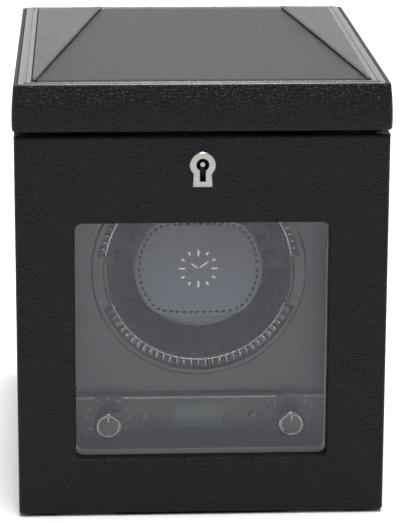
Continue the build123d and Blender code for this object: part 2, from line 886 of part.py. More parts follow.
def cuff_frame():
    start = cuff_depth + cuff_face_thickness
    end = start + cuff_body_length
    half_x, half_z = cuff_spine
    depth = (start + cuff_spine_inset, end)
    body = block((-half_x, half_x), depth, (drum_height - half_z, drum_height + half_z))
    body += rod(0, drum_height, cuff_radius - 3.0, (end, end + cuff_plate))
    arm_z = (drum_height - cuff_arm_half, drum_height + cuff_arm_half)
    return body + block((-cuff_arm_tip, cuff_arm_tip), (end, end + cuff_plate + cuff_arm_extra), arm_z)


# ---- controls ----
def knob_ring(x0):
    inner = knob_radius - knob_ring_width
    body = ring(x0, control_height, knob_radius, inner, (knob_front, knob_front + knob_ring_length))
    front_edges = body.edges().filter_by(GeomType.CIRCLE).group_by(Axis.Y)[0].sort_by(SortBy.RADIUS)
    body = fillet(front_edges[0], 0.4)
    front_edges = body.edges().filter_by(GeomType.CIRCLE).group_by(Axis.Y)[0].sort_by(SortBy.RADIUS)
    return fillet(front_edges[-1], 1.3)


def knob_cap(x0):
    """Knob body with a core inside its bright ring, a pointer on the core and a stem behind."""
    ring_end = knob_front + knob_ring_length
    face = knob_front + 0.5
    core = rod(x0, control_height, knob_radius - knob_ring_width, (face, ring_end))
    body = core + rod(x0, control_height, knob_body_radius, (ring_end, knob_back))
    body += block((x0 - 0.5, x0 + 0.5), (knob_front + 0.1, face), (control_height + 0.6, control_height + 3.4))
    return body + rod(x0, control_height, knob_stem_radius, (knob_back, board_depth - 1.5))


def rotary_switches():
    pieces = []
    for x0 in (-knob_offset, knob_offset):
        depth = (console_depth + module_wall + 0.2, board_depth)
        z = (control_height - switch_case, control_height + switch_case)
        case = block((x0 - switch_case, x0 + switch_case), depth, z)
        case += rod(x0, control_height, bushing_radius, (console_depth - turret_proud + 0.2, board_depth - 1.0))
        bore = knob_stem_radius + pin_clearance
        pieces.append(case - rod(x0, control_height, bore, (knob_front, board_depth - 1.0)))
    return Compound(children=pieces)


def button(x0):
    wall_back = console_depth + module_wall
    flange = (wall_back + 0.3, board_depth - tact_height - tact_plunger - button_travel - piece_gap)
    cap = rod(x0, control_height, button_radius, (console_depth - 1.0, flange[0]))
    cap = fillet(cap.edges().filter_by(GeomType.CIRCLE).sort_by(Axis.Y)[0], 0.5)
    return cap + rod(x0, control_height, button_radius + 1.1, flange)


def tact_switches():
    pieces = []
    for x0 in (-button_offset, button_offset):
        top = board_depth - tact_height
        z = (control_height - tact_half, control_height + tact_half)
        body = block((x0 - tact_half, x0 + tact_half), (top, board_depth), z)
        pieces.append(body + rod(x0, control_height, 1.2, (top - tact_plunger, top)))
    return Compound(children=pieces)


def lcd_block(grow, depth):
    """Block of the display window's outline, grown on every side."""
    x = lcd_half_width + grow
    z = lcd_half_height + grow
    return block((-x, x), depth, (control_height - z, control_height + z))


def lcd_lens():
    start = console_depth + lcd_frame_depth
    return lcd_block(0, (start, start + lens_thickness))


def lcd_panel():
    return lcd_block(-0.5, (console_depth + lcd_frame_depth + lens_thickness, board_depth))


def control_board():
    depth = (board_depth, board_depth + board_thickness)
    return block((-52, 52), depth, (control_height - 14.0, control_height + 7.0))


# ---- all pieces ----
def hinge_sets():
    """Leaves and pins of the door hinges and the lid hinges, four hinges of one size."""
    door = hinge_pieces(door_axis_depth, door_axis_height, 1)
    lid = hinge_pieces(lid_axis_depth, lid_axis_height, -1)
    return {
        "hinge_case_leaves": Compound(children=in_pairs(door[0]) + in_pairs(lid[0])),
        "hinge_door_leaves": Compound(children=in_pairs(door[1])),
        "hinge_lid_leaves": Compound(children=in_pairs(lid[1])),
        "hinge_pins": Compound(children=in_pairs(door[2]) + in_pairs(lid[2])),
    }


def all_pieces():
    pieces = {
        "base_board": base_board(),
        "base_felt": base_felt(),
        "side_panel_left": side_panel(-1),
        "side_panel_right": side_panel(1),
        "rear_panel": rear_panel(),
        "side_lining_left": side_lining(-1),
        "side_lining_right": side_lining(1),
        "floor_lining": floor_lining(),
        "lid_bumpers": lid_bumpers(),
        "door_magnets": door_magnets(),
        "door_keepers": door_keepers(),
        "door_panel": door_panel(),
        "window_glass": window_glass(),
        "glass_retainer": glass_retainer(),
        "escutcheon": escutcheon(),
        "lock_case": lock_case(),
        "lock_bolt": lock_bolt(),
        "lock_key_pin": key_pin(),
        "lid_strike_plate": strike_plate(),
        "lid_shell": lid_shell(),
        "lid_lining": lid_lining(),
        "lid_trim_frame": trim_frame(),
        "lid_pad": lid_pad(),
        "lid_wing_left": lid_wing(-1),
        "lid_wing_right": lid_wing(1),
        "fascia": fascia(),
        "housing_body": housing_body(),
        "housing_rear_cover": housing_cover(),
        "rear_cover_screws": cover_screws(),
        "dc_jack": dc_jack(),
        "drum_shell": drum_shell(),
        "drum_bezel": drum_bezel(),
        "drum_gear": drum_gear(),
        "drum_shaft": drum_shaft(),
        "shaft_clip": shaft_clip(),
        "bearing_plate": bearing_plate(),
        "drum_bushes": drum_bushes(),
        "motor_pinion": pinion(),
        "motor_gearbox": gearbox(),
        "motor": motor(),
        "motor_screws": motor_screws(),
        "cuff_face": cuff_face(),
        "cuff_pad": cuff_pad(),
        "cuff_frame": cuff_frame(),
        "speed_knob_cap": knob_cap(-knob_offset),
        "speed_knob_ring": knob_ring(-knob_offset),
        "direction_knob_cap": knob_cap(knob_offset),
        "direction_knob_ring": knob_ring(knob_offset),
        "rotary_switches": rotary_switches(),
        "set_button": button(-button_offset),
        "start_button": button(button_offset),
        "tact_switches": tact_switches(),
        "lcd_lens": lcd_lens(),
        "lcd_panel": lcd_panel(),
        "control_board": control_board(),
    }
    pieces.update(hinge_sets())
    return pieces


os.makedirs("parts", exist_ok=True)
for name, piece in all_pieces().items():
    export_step(piece, "parts/" + name + ".step")
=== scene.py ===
"""Looks of a watch winder box: its materials, finer meshes for leather and polished pieces, stage and camera."""
from math import cos, pi, radians, sin, sqrt

import bpy
from mathutils import Euler, Matrix, Vector, noise


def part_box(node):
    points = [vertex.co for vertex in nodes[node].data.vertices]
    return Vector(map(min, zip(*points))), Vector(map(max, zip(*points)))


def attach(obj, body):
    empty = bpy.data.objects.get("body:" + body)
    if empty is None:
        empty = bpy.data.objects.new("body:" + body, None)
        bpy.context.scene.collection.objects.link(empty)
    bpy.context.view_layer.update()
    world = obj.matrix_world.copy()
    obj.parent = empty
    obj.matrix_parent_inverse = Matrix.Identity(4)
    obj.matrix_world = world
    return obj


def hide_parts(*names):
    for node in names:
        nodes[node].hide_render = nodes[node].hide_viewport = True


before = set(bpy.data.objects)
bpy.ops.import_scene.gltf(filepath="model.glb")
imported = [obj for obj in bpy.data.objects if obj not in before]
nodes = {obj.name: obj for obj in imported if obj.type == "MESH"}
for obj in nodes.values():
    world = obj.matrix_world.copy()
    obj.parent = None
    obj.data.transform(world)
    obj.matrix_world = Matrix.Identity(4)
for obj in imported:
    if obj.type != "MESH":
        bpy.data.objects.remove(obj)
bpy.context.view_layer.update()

MM = 0.001
FORWARD = Vector((0, -1, 0))
lid_low, lid_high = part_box("lid_shell")
pad_low, pad_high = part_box("lid_pad")
face_low, face_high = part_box("cuff_face")
body_low, body_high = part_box("cuff_pad")
box_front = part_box("door_panel")[0].y


# ---------------------------------------------------------------- materials
class Shader:
    """A small helper that builds one node material around a Principled shader."""

    def __init__(self, name):
        self.material = bpy.data.materials.new(name)
        self.material.use_nodes = True
        self.tree = self.material.node_tree
        self.surface = self.tree.nodes["Principled BSDF"]
        self.place = self.node("ShaderNodeTexCoord").outputs["Object"]

    def node(self, kind, **values):
        made = self.tree.nodes.new(kind)
        for key, value in values.items():
            setattr(made, key, value)
        return made

    def link(self, source, target):
        self.tree.links.new(source, target)

    def set(self, **values):
        for key, value in values.items():
            self.surface.inputs[key.replace("_", " ")].default_value = value

    def noise(self, scale, detail=3.0, rough=0.5, where=None):
        made = self.node("ShaderNodeTexNoise")
        made.inputs["Scale"].default_value = scale
        made.inputs["Detail"].default_value = detail
        made.inputs["Roughness"].default_value = rough
        self.link(where or self.place, made.inputs["Vector"])
        return made.outputs["Fac"]

    def cells(self, scale, where, feature="DISTANCE_TO_EDGE", randomness=1.0):
        made = self.node("ShaderNodeTexVoronoi", feature=feature)
        made.inputs["Scale"].default_value = scale
        made.inputs["Randomness"].default_value = randomness
        self.link(where, made.inputs["Vector"])
        return made.outputs["Distance"]

    def stretched(self, scale):
        made = self.node("ShaderNodeMapping")
        made.inputs["Scale"].default_value = scale
        self.link(self.place, made.inputs["Vector"])
        return made.outputs["Vector"]

    def wobble(self, amount, scale):
        """The object's coordinates, pushed about by noise, so that cells aren't regular."""
        field = self.node("ShaderNodeTexNoise")
        field.inputs["Scale"].default_value = scale
        self.link(self.place, field.inputs["Vector"])
        shift = self.node("ShaderNodeVectorMath", operation="MULTIPLY_ADD")
        self.link(field.outputs["Color"], shift.inputs[0])
        shift.inputs[1].default_value = (amount, amount, amount)
        self.link(self.place, shift.inputs[2])
        return shift.outputs["Vector"]

    def spread(self, value, low, high, to_low=0.0, to_high=1.0):
        """Maps the range low to high onto the range to_low to to_high."""
        made = self.node("ShaderNodeMapRange")
        self.link(value, made.inputs["Value"])
        made.inputs["From Min"].default_value = low
        made.inputs["From Max"].default_value = high
        made.inputs["To Min"].default_value = to_low
        made.inputs["To Max"].default_value = to_high
        return made.outputs["Result"]

    def math(self, kind, a, b):
        made = self.node("ShaderNodeMath", operation=kind)
        for index, value in enumerate((a, b)):
            if isinstance(value, (int, float)):
                made.inputs[index].default_value = value
            else:
                self.link(value, made.inputs[index])
        return made.outputs[0]

    def colours(self, factor, first, second):
        made = self.node("ShaderNodeMix", data_type="RGBA")
        self.link(factor, made.inputs["Factor"])
        made.inputs["A"].default_value = (*first, 1)
        made.inputs["B"].default_value = (*second, 1)
        self.link(made.outputs["Result"], self.surface.inputs["Base Color"])

    def bump(self, height, distance, strength):
        made = self.node("ShaderNodeBump")
        made.inputs["Strength"].default_value = strength
        made.inputs["Distance"].default_value = distance
        self.link(height, made.inputs["Height"])
        self.link(made.outputs["Normal"], self.surface.inputs["Normal"])

    def rough(self, value):
        self.link(value, self.surface.inputs["Roughness"])


def leather(name, dark, light, grain=700.0, depth=0.00032, shine=(0.34, 0.46), crease=0.6, gloss=0.45):
    """Pebble-grain leatherette: rounded cells with fine creases between them, duller in the creases."""
    s = Shader(name)
    place = s.wobble(0.0011, 420.0)
    pebbles = s.spread(s.cells(grain, place), 0.0, 0.32)
    fine = s.spread(s.cells(grain * 2.3, place), 0.0, 0.4)
    folds = s.noise(160.0, 5.0, 0.62)
    height = s.math("ADD", pebbles, s.math("MULTIPLY", fine, 0.25))
    height = s.math("ADD", height, s.math("MULTIPLY", folds, crease))
    s.bump(height, depth, 0.9)
    tone = s.math("MULTIPLY", pebbles, s.spread(s.noise(35.0), 0.3, 0.7, 0.6, 1.0))
    s.colours(tone, dark, light)
    s.rough(s.spread(pebbles, 0.0, 1.0, shine[1], shine[0]))
    s.set(Specular_IOR_Level=gloss)
    return s.material


def smooth_leather(name, dark, light, shine):
    """Polished leatherette with hardly any grain, as on the creased border of the lid."""
    s = Shader(name)
    height = s.math("ADD", s.noise(1500.0, 4.0), s.math("MULTIPLY", s.noise(220.0, 3.0), 1.5))
    s.bump(height, 0.00003, 0.5)
    s.colours(s.noise(60.0), dark, light)
    s.rough(s.spread(s.noise(240.0), 0.3, 0.7, shine[0], shine[1]))
    return s.material


def suede(name, dark, light):
    """Short nap, brushed this way and that."""
    s = Shader(name)
    nap = s.noise(2600.0, 4.0, 0.7)
    brushed = s.noise(40.0, 3.0, 0.6)
    s.bump(s.math("ADD", nap, s.math("MULTIPLY", brushed, 0.6)), 0.00015, 0.6)
    s.colours(s.math("MULTIPLY", nap, s.spread(brushed, 0.3, 0.7, 0.7, 1.2)), dark, light)
    s.set(Roughness=0.95, Sheen_Weight=0.35, Sheen_Roughness=0.5)
    return s.material


def plastic(name, colour, shine, texture=0.0):
    """Moulded plastic: smooth with faint waviness, or with a fine spark-eroded texture."""
    s = Shader(name)
    s.set(Specular_IOR_Level=0.5)
    lighter = tuple(min(1.0, c * 1.18 + 0.001) for c in colour)
    s.colours(s.noise(90.0), colour, lighter)
    s.rough(s.spread(s.noise(380.0), 0.3, 0.7, shine * 0.85, shine * 1.2))
    if texture:
        s.bump(s.noise(3200.0, 3.0), texture, 0.5)
    else:
        s.bump(s.noise(45.0, 2.0), 0.00002, 0.25)
    return s.material


def metal(name, colour, shine, along=None):
    """Metal with fine brushing along one direction, or with a plain polish."""
    s = Shader(name)
    s.set(Metallic=1.0)
    where = s.stretched(along) if along else s.place
    lines = s.noise(1.0 if along else 900.0, 3.0, 0.6, where)
    darker = tuple(c * 0.8 for c in colour)
    s.colours(s.spread(lines, 0.3, 0.7), darker, colour)
    s.rough(s.spread(lines, 0.25, 0.75, shine * 0.75, shine * 1.3))
    s.bump(lines, 0.00001, 0.5)
    return s.material


def clear_glass(name):
    """Window glass. Rays from lamps pass it, so that they light what is behind."""
    s = Shader(name)
    s.set(Base_Color=(1, 1, 1, 1), Roughness=0.0, IOR=1.41, Transmission_Weight=1.0)
    s.set(Specular_Tint=(0.88, 0.91, 1.0, 1))
    paths = s.node("ShaderNodeLightPath")
    through = s.node("ShaderNodeBsdfTransparent")
    through.inputs["Color"].default_value = (0.9, 0.91, 0.92, 1)
    mix = s.node("ShaderNodeMixShader")
    s.link(paths.outputs["Is Shadow Ray"], mix.inputs[0])
    s.link(s.surface.outputs[0], mix.inputs[1])
    s.link(through.outputs[0], mix.inputs[2])
    s.link(mix.outputs[0], s.tree.nodes["Material Output"].inputs["Surface"])
    return s.material


def display(name):
    """Blank liquid-crystal panel, grey-green with faint rows of segments."""
    s = Shader(name)
    cell = s.cells(420.0, s.stretched((1.0, 1.0, 1.7)), "F1", 0.0)
    s.colours(s.spread(cell, 0.2, 0.7), (0.02, 0.029, 0.026), (0.019, 0.0275, 0.025))
    s.set(Roughness=0.3, Coat_Weight=0.2)
    return s.material


case_leather = leather("case_leather", (0.0026, 0.0022, 0.0041), (0.0055, 0.0047, 0.0087),
                       depth=0.00026, gloss=0.22)
pad_leather = leather("pad_leather", (0.009, 0.009, 0.0105), (0.015, 0.015, 0.0175),
                      grain=900.0, depth=0.0003)
wing_leather = leather("wing_leather", (0.018, 0.0175, 0.022), (0.029, 0.0285, 0.035),
                       grain=900.0, depth=0.00012, shine=(0.24, 0.32))
cuff_leather = leather("cuff_leather", (0.11, 0.12, 0.145), (0.18, 0.195, 0.235),
                       grain=1300.0, depth=0.00012, shine=(0.4, 0.55), crease=0.3)
trim_leather = smooth_leather("trim_leather", (0.07, 0.07, 0.068), (0.1, 0.1, 0.098), shine=(0.2, 0.28))
lining_suede = suede("lining_suede", (0.055, 0.055, 0.06), (0.1, 0.1, 0.11))
# Black felt for the underside; on the window's glass retainer the same near-black colour is painted shade for
# the dark recess below the glass.
black_felt_and_painted_shade = suede("black_felt_and_painted_shade", (0.01, 0.01, 0.01), (0.03, 0.03, 0.03))
thread = suede("thread", (0.002, 0.002, 0.003), (0.006, 0.006, 0.008))
gloss_black = plastic("gloss_black", (0.006, 0.006, 0.007), 0.33)
satin_black = plastic("satin_black", (0.012, 0.012, 0.013), 0.38, texture=0.00002)
drum_black = plastic("drum_black", (0.004, 0.004, 0.004), 0.6, texture=0.00002)
bezel_black = plastic("bezel_black", (0.01, 0.01, 0.011), 0.33)
knob_black = plastic("knob_black", (0.01, 0.01, 0.011), 0.33)
button_black = plastic("button_black", (0.02, 0.02, 0.022), 0.33)
rubber_black = plastic("rubber_black", (0.015, 0.015, 0.015), 0.7, texture=0.00003)
nylon = plastic("nylon", (0.6, 0.58, 0.53), 0.42, texture=0.00002)
board_green = plastic("board_green", (0.01, 0.075, 0.03), 0.3)
print_grey = plastic("print_grey", (0.3, 0.3, 0.3), 0.5)
nickel = metal("nickel", (0.44, 0.425, 0.405), 0.3, along=(90.0, 900.0, 2600.0))
steel = metal("steel", (0.5, 0.5, 0.51), 0.3, along=(2200.0, 300.0, 300.0))
chrome = metal("chrome", (0.16, 0.16, 0.165), 0.12)
bezel_bright = metal("bezel_bright", (0.62, 0.62, 0.64), 0.18)
# Painted shade: the lock case is coloured near black so that the keyhole looks dark inside, as shade would make
# it.
lock_case_painted_shade = metal("lock_case_painted_shade", (0.03, 0.03, 0.03), 0.35)
bronze = metal("bronze", (0.5, 0.33, 0.17), 0.4)
foil = metal("foil", (0.72, 0.69, 0.6), 0.35)
glass = clear_glass("glass")
lcd = display("lcd")

finishes = {
    case_leather: ["base_board", "side_panel_left", "side_panel_right", "rear_panel", "door_panel",
                   "lid_shell"],
    lining_suede: ["side_lining_left", "side_lining_right", "floor_lining", "lid_lining"],
    # On the glass retainer this near-black colour is painted shade in the window recess.
    black_felt_and_painted_shade: ["base_felt", "glass_retainer"],
    rubber_black: ["lid_bumpers"],
    glass: ["window_glass"],
    nickel: ["escutcheon", "lock_key_pin"],
    steel: ["hinge_case_leaves", "hinge_door_leaves", "hinge_lid_leaves", "hinge_pins", "lock_bolt",
            "lid_strike_plate", "door_magnets", "door_keepers", "rear_cover_screws", "motor_screws",
            "motor_gearbox", "motor", "drum_shaft", "shaft_clip"],
    gloss_black: ["fascia"],
    satin_black: ["housing_body", "housing_rear_cover", "dc_jack", "bearing_plate", "rotary_switches",
                  "tact_switches"],
    drum_black: ["drum_shell", "cuff_frame"],
    knob_black: ["speed_knob_cap", "direction_knob_cap"],
    # The near-black lock case is painted shade inside the keyhole.
    lock_case_painted_shade: ["lock_case"],
    bezel_black: ["drum_bezel"],
    chrome: ["speed_knob_ring", "direction_knob_ring"],
    button_black: ["set_button", "start_button"],
    nylon: ["drum_gear", "motor_pinion"],
    bronze: ["drum_bushes"],
    lcd: ["lcd_lens", "lcd_panel"],
    board_green: ["control_board"],
}
for material, names in finishes.items():
    for node_name in names:
        nodes[node_name].data.materials.clear()
        nodes[node_name].data.materials.append(material)


# ---------------------------------------------------------------- mesh helpers
def piece(name, points, faces, material, body):
    """A smooth-shaded mesh piece, in place in the object's own frame."""
    mesh = bpy.data.meshes.new(name)
    mesh.from_pydata(points, [], faces)
    mesh.update()
    for polygon in mesh.polygons:
        polygon.use_smooth = True
    mesh.materials.append(material)
    made = bpy.data.objects.new(name, mesh)
    bpy.context.scene.collection.objects.link(made)
    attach(made, body)
    return made


def rings(loops, endless=False):
    """Points and faces that join loops of equal length in order.

    A fan closes each end, or the last loop joins the first where the shape is endless.
    """
    count = len(loops[0])
    points = [p for loop in loops for p in loop]
    faces = []
    for row in range(len(loops) if endless else len(loops) - 1):
        near = row * count
        far = (row + 1) % len(loops) * count
        for k in range(count):
            nxt = (k + 1) % count
            faces.append((near + k, near + nxt, far + nxt, far + k))
    if endless:
        return points, faces
    for row, flip in ((0, True), (len(loops) - 1, False)):
        middle = [sum(p[i] for p in loops[row]) / count for i in range(3)]
        points.append(tuple(middle))
        hub = len(points) - 1
        for k in range(count):
            a = row * count + k
            b = row * count + (k + 1) % count
            faces.append((b, a, hub) if flip else (a, b, hub))
    return points, faces


def reversed_faces(faces):
    return [tuple(reversed(face)) for face in faces]


def joined(parts):
    """One list of points and faces from several."""
    points, faces = [], []
    for part_points, part_faces in parts:
        start = len(points)
        points += part_points
        faces += [tuple(i + start for i in face) for face in part_faces]
    return points, faces


def capsule(centre, along, up, length, width, height, sides=8, steps=5):
    """A rounded little bar, such as one stitch, lying along a direction."""
    along = Vector(along).normalized()
    up = Vector(up).normalized()
    side = along.cross(up)
    loops = []
    for step in range(steps + 1):
        t = -1 + 2 * step / steps
        swell = sqrt(max(0.0, 1 - abs(t) ** 3)) * 0.97 + 0.03
        loop = []
        for k in range(sides):
            a = 2 * pi * k / sides
            off = side * (cos(a) * width / 2 * swell) + up * (sin(a) * height / 2 * swell)
            loop.append(tuple(Vector(centre) + along * (t * length / 2) + off))
        loops.append(loop)
    return rings(loops)


def tube_loop(path, radius, sides=8):
    """Closed round tube along a closed path that lies across the box."""
    count = len(path)
    loops = []
    for k in range(count):
        along = (path[(k + 1) % count] - path[k - 1]).normalized()
        side = along.cross(-FORWARD).normalized()
        loop = []
        for step in range(sides):
            a = 2 * pi * step / sides
            loop.append(tuple(path[k] + side * (radius * cos(a)) - FORWARD * (radius * sin(a))))
        loops.append(loop)
    return rings(loops, endless=True)


def rolled(distance, radius):
    """Height, from 0 to 1, of an edge that is rolled over with this radius, at a distance in from it."""
    return sqrt(max(0.0, 1 - (1 - min(distance / radius, 1)) ** 2))


def eased(t):
    """Graded spacing that puts more grid lines near both ends."""
    return 0.5 - 0.5 * cos(pi * t)


# ---------------------------------------------------------------- lid
def frame_loop(inset, z, corner, side_inset=None):
    """Rounded rectangle around the lid, this far in from its outer faces."""
    steps = 5
    across = inset if side_inset is None else side_inset
    x0, x1 = lid_low.x + across, lid_high.x - across
    y0, y1 = lid_low.y + inset, lid_high.y - inset
    loop = []
    for cx, cy, start in ((x1 - corner, y1 - corner, 0), (x0 + corner, y1 - corner, 90),
                          (x0 + corner, y0 + corner, 180), (x1 - corner, y0 + corner, 270)):
        for step in range(steps + 1):
            a = radians(start + 90 * step / steps)
            loop.append((cx + corner * cos(a), cy + corner * sin(a), z))
    return loop


def lid_wrap():
    """Leather-wrapped lid: softly bulged front, a rolled top lip, the recess above and the hollow below."""
    wall = 11.0 * MM
    lip = 2.55 * MM
    turn = 0.6 * MM
    end_bulge = 0.4
    base = lid_low.z + 0.1 * MM
    top = lid_high.z
    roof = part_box("lid_lining")[1].z
    recess_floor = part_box("lid_trim_frame")[0].z
    # Inset and rise of the outer face in millimetres: its rolled lower edge, then the bulge up to the lip.
    lower_edge = [(1.3, 0.0), (0.7, 0.1), (0.4, 0.4)]
    bulge = [(0.2, 1.0), (0.05, 2.4), (0.0, 4.2), (0.05, 6.4), (0.2, 8.8), (0.45, 11.2), (0.8, 13.4),
             (1.2, 15.3), (1.55, 16.7), (1.85, 17.9), (2.1, 18.9), (2.3, 19.5)]
    loops = [frame_loop(wall, roof, 1.0 * MM), frame_loop(wall, base + turn, 1.0 * MM),
             frame_loop(wall - turn, base, 1.2 * MM)]
    for outline, share in ((lower_edge, 1.0), (bulge, end_bulge)):
        for inset, rise in outline:
            corner = (2.4 - inset * 0.5) * MM
            loops.append(frame_loop(inset * MM, base + rise * MM, corner, inset * MM * share))
    loops += [frame_loop(lip - 0.2 * MM, top - 0.05 * MM, 1.2 * MM),
              frame_loop(lip, top - 0.35 * MM, 1.1 * MM),
              frame_loop(lip, recess_floor, 1.0 * MM)]
    points, faces = rings(loops)
    made = piece("lid_wrap", points, reversed_faces(faces), case_leather, "lid")
    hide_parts("lid_shell")


def lid_trim():
    """Creased border of the lid: two smooth bands with a raised bead between them."""
    low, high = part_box("lid_trim_frame")
    top = high.z - 0.5 * MM
    width = 5.9 * MM
    bead_half_width, bead_height = 0.5 * MM, 0.46 * MM
    bead_foot = top + 0.02 * MM
    outer = low.x - lid_low.x
    inner = outer + width
    middle = outer + width / 2
    # Distance in millimetres from the border's edge or the bead's middle, and drop below the bands.
    edge = [(0.0, 0.7), (0.15, 0.25), (0.55, 0.0)]
    groove = [(1.0, -0.02), (0.62, 0.12)]
    profile = [(outer, low.z)]
    profile += [(outer + away * MM, top - drop * MM) for away, drop in edge]
    profile += [(middle - away * MM, top - drop * MM) for away, drop in groove]
    for step in range(7):
        a = pi - pi * step / 6
        profile.append((middle + bead_half_width * cos(a), bead_foot + bead_height * sin(a)))
    profile += [(middle + away * MM, top - drop * MM) for away, drop in reversed(groove)]
    profile += [(inner - away * MM, top - drop * MM) for away, drop in reversed(edge)]
    profile.append((inner, low.z))
    loops = [frame_loop(inset, z, max(0.4 * MM, 1.6 * MM - inset * 0.15)) for inset, z in profile]
    points, faces = rings(loops, endless=True)
    made = piece("lid_border", points, faces, trim_leather, "lid")
    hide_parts("lid_trim_frame")


def soft_sheet(columns, rows, place, bottom):
    """Closed pad from a grid: place(u, v) gives a point of its top, and its underside lies flat at bottom."""
    top = [[place(i / columns, j / rows) for i in range(columns + 1)] for j in range(rows + 1)]
    points = [p for row in top for p in row]
    half_count = len(points)
    points += [(p[0], p[1], bottom) for row in top for p in row]
    faces = []
    for j in range(rows):
        for i in range(columns):
            a = j * (columns + 1) + i
            b, c, d = a + 1, a + columns + 2, a + columns + 1
            faces.append((a, b, c, d))
            faces.append((a + half_count, d + half_count, c + half_count, b + half_count))
    edge = [(0, i) for i in range(columns)] + [(j, columns) for j in range(rows)]
    edge += [(rows, i) for i in range(columns, 0, -1)] + [(j, 0) for j in range(rows, 0, -1)]
    index = [j * (columns + 1) + i for j, i in edge]
    for k, a in enumerate(index):
        b = index[(k + 1) % len(index)]
        faces.append((b, a, a + half_count, b + half_count))
    return points, faces


def lid_pad():
    """Centre pad: softly crowned, rolled down at the border, with slight hand-laid waviness."""
    inset = 0.15 * MM
    roll = 2.6 * MM
    rim = 0.5 * MM
    wave_height, wave_scale, wave_fade = 0.12 * MM, 18, 12 * MM
    x0, x1 = pad_low.x + inset, pad_high.x - inset
    y0, y1 = pad_low.y + inset, pad_high.y - inset
    crown = pad_high.z - pad_low.z

    def place(u, v):
        x = x0 + (x1 - x0) * eased(u)
        y = y0 + (y1 - y0) * eased(v)
        edge = min(x - x0, x1 - x, y - y0, y1 - y)
        ripple = noise.noise(Vector((x * wave_scale, y * wave_scale, 0.3)))
        wave = ripple * wave_height * min(edge / wave_fade, 1)
        return (x, y, pad_low.z + rim + (crown - rim) * rolled(edge, roll) + wave)

    points, faces = soft_sheet(70, 90, place, pad_low.z)
    made = piece("lid_centre_pad", points, faces, pad_leather, "lid")
    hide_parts("lid_pad")


def lid_wing(sign):
    """Leather wing over the pad: flat at the side, rolled over at its inner edge, narrowing to the front."""
    name = "lid_wing_right" if sign > 0 else "lid_wing_left"
    gap = 0.15 * MM
    tip_width = 1.5 * MM
    fold_radius = 1.25 * MM
    side_roll = 1.6 * MM
    underside = 0.05 * MM
    rim = 0.25 * MM
    rows, across, fold_steps = 80, 22, 6
    low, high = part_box(name)
    side = max(abs(low.x), abs(high.x)) - gap
    back_width = high.x - low.x
    y0, y1 = low.y + gap, high.y - gap
    base = low.z
    thick = high.z - low.z
    loops = []
    for j in range(rows + 1):
        v = j / rows
        y = y0 + (y1 - y0) * v
        ragged = noise.noise(Vector((sign * 3, v * 5, 1))) * 0.35 * MM * v
        width = tip_width + (back_width - tip_width) * v + ragged
        fold = min(fold_radius, width * 0.35)
        inner = side - (width - fold)
        end = min(1.0, v * rows / 3, (1 - v) * rows / 3)
        rise = thick * (0.35 + 0.65 * sqrt(end)) + noise.noise(Vector((v * 7, sign, 4))) * 0.08 * MM
        lift = 0.5 * MM * min(1.0, width / (12 * MM))
        loop = []
        for i in range(across + 1):
            t = i / across
            x = side - (width - fold) * t
            roll = rolled(side - x, side_roll) if x < side else 0.0
            loop.append((sign * x, y, base + rim + (rise - rim) * roll + lift * t * t * t))
        middle = base + (rise + lift) / 2 + underside
        half = (rise + lift) / 2 - underside
        for step in range(1, fold_steps + 1):
            a = pi * step / fold_steps
            loop.append((sign * (inner - fold * sin(a)), y, middle + half * cos(a)))
        loop.append((sign * (side - (width - fold) * 0.5), y, base + underside))
        loop.append((sign * side, y, base + 0.02 * MM))
        loops.append(loop)
    points, faces = rings(loops)
    if sign < 0:
        faces = reversed_faces(faces)
    made = piece(name + "_leather", points, faces, wing_leather, "lid")
    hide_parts(name)


# ---------------------------------------------------------------- cuff
cuff_centre = Vector(((face_low.x + face_high.x) / 2, 0, (face_low.z + face_high.z) / 2))
cuff_radius = (face_high.x - face_low.x) / 2
cuff_flat = (face_high.z - face_low.z) / 2


def cuff_outline(inset, count=160):
    """Round outline cut flat above and below, with its four corners rounded."""
    sharpness = 14
    loop = []
    for k in range(count):
        a = 2 * pi * k / count
        limit = (cuff_flat - inset) / max(abs(sin(a)), 1e-6)
        radius = cuff_radius - inset
        r = (radius ** -sharpness + limit ** -sharpness) ** (-1 / sharpness)
        loop.append((r * cos(a), r * sin(a)))
    return loop


def cuff_face():
    """Stitched leather face: rolled rim, stitch groove and a softly crowned middle."""
    # Inset from the outline and depth behind the front in millimetres: back, rim, groove, middle.
    profile = [(1.4, 2.9), (0.25, 2.8), (0.0, 2.0), (0.05, 1.2), (0.2, 0.5), (0.5, 0.12), (1.0, 0.0),
               (1.4, 0.25), (1.8, 0.8), (2.2, 1.1), (2.7, 0.85), (3.2, 0.5), (4.0, 0.34), (6.0, 0.22),
               (9.0, 0.12), (13.0, 0.05), (17.0, 0.02), (20.0, 0.0)]
    loops = []
    for inset, back in profile:
        y = face_low.y + back * MM
        loops.append([(cuff_centre.x + x, y, cuff_centre.z + z) for x, z in cuff_outline(inset * MM)])
    points, faces = rings(loops)
    made = piece("cuff_face_leather", points, reversed_faces(faces), cuff_leather, "cuff")
    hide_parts("cuff_face")


def cuff_stitches():
    """Saddle stitches laid in the groove of the cuff's face, each turned a little across it."""
    inset, depth = 2.2 * MM, 0.8 * MM
    pitch = 2.9 * MM
    length, width, height = 2.0 * MM, 1.05 * MM, 0.7 * MM
    slant = 0.16
    outline = cuff_outline(inset, 720)
    parts = []
    walked = 0.0
    for k in range(len(outline)):
        a, b = Vector(outline[k]), Vector(outline[(k + 1) % len(outline)])
        walked += (b - a).length
        if walked >= pitch:
            walked -= pitch
            step = (b - a).normalized()
            along = (step.x - slant * step.y, 0, step.y + slant * step.x)
            centre = (cuff_centre.x + a.x, face_low.y + depth, cuff_centre.z + a.y)
            parts.append(capsule(centre, along, FORWARD, length, width, height))
    points, faces = joined(parts)
    piece("cuff_stitches", points, faces, thread, "cuff")


